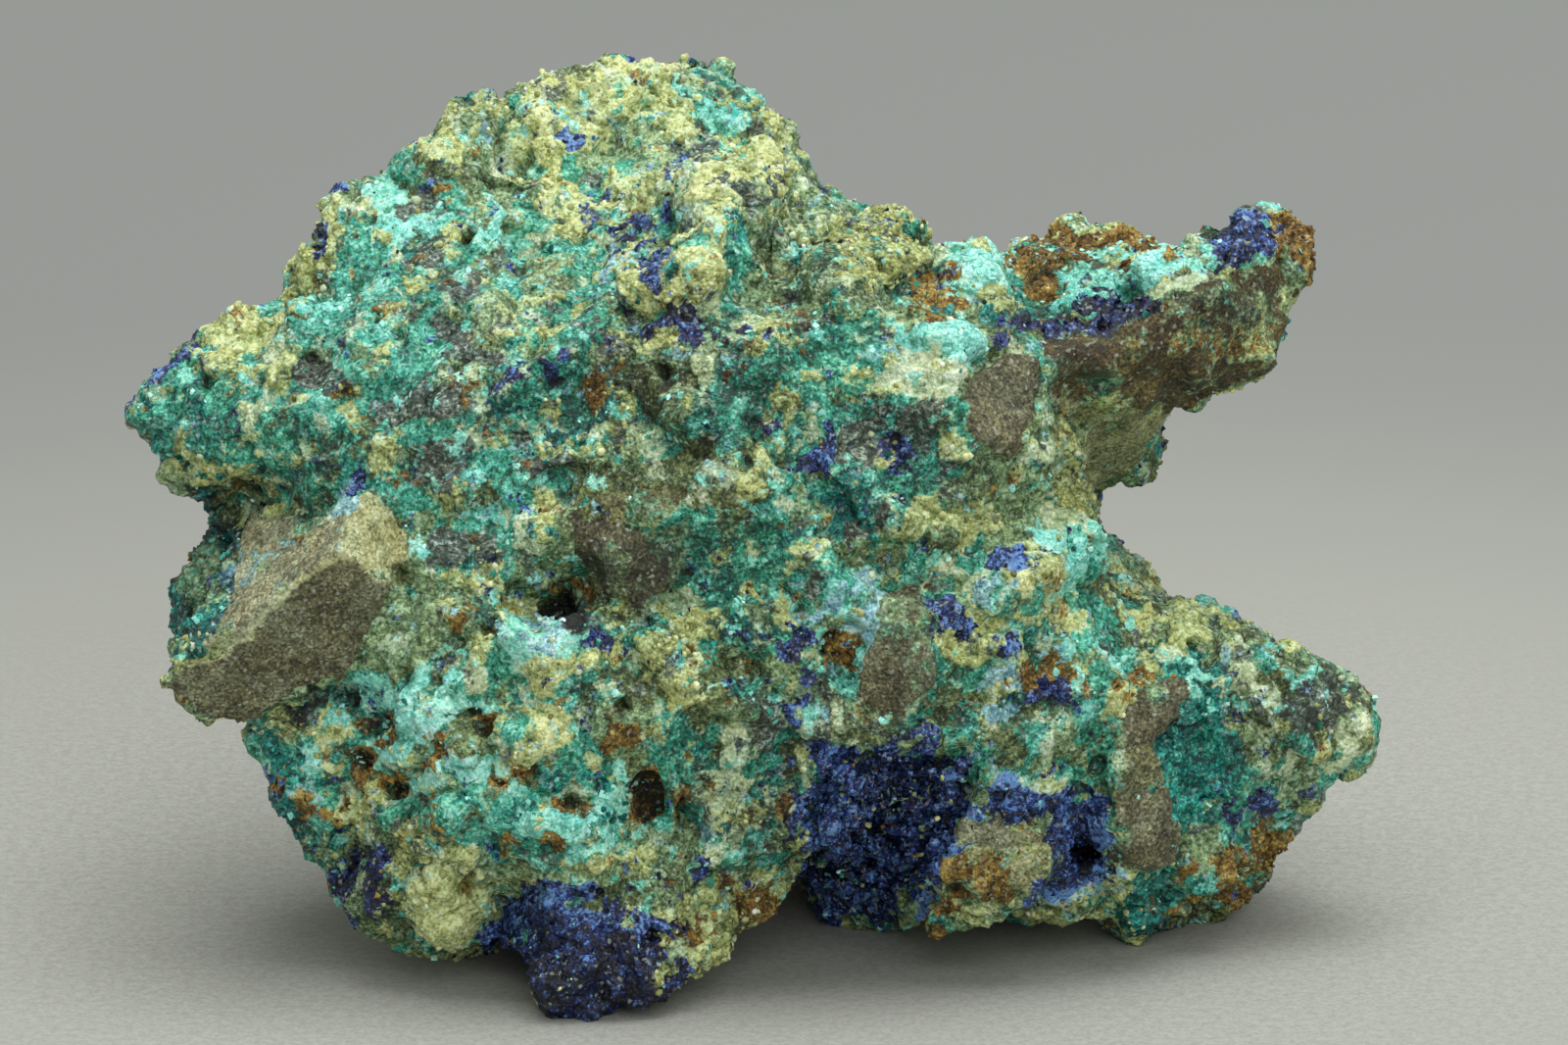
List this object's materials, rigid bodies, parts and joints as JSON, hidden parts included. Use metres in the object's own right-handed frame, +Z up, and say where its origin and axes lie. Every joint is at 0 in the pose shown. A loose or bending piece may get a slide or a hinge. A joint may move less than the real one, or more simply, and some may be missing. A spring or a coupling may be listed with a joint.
{
  "type": "richelsdorfite specimen",
  "caption": "Jagged lump of copper-stained ore breccia with forked arms, set clasts and an azurite-lined hollow; rests on its feet.",
  "frame": {"origin": "centre of the bounding box at the resting plane", "axes": "+X to the right along the broad face, which looks towards -Y, +Z up"},
  "size_m": [0.0636, 0.0448, 0.0417],
  "materials": {
    "breccia": "rough turquoise, green and tan crust over grey-brown breccia",
    "azurite": "fine dark blue crystals"
  },
  "bodies": {
    "root": {"matrix": "breccia", "azurite_crust": "azurite"}
  },
  "joints": []
}
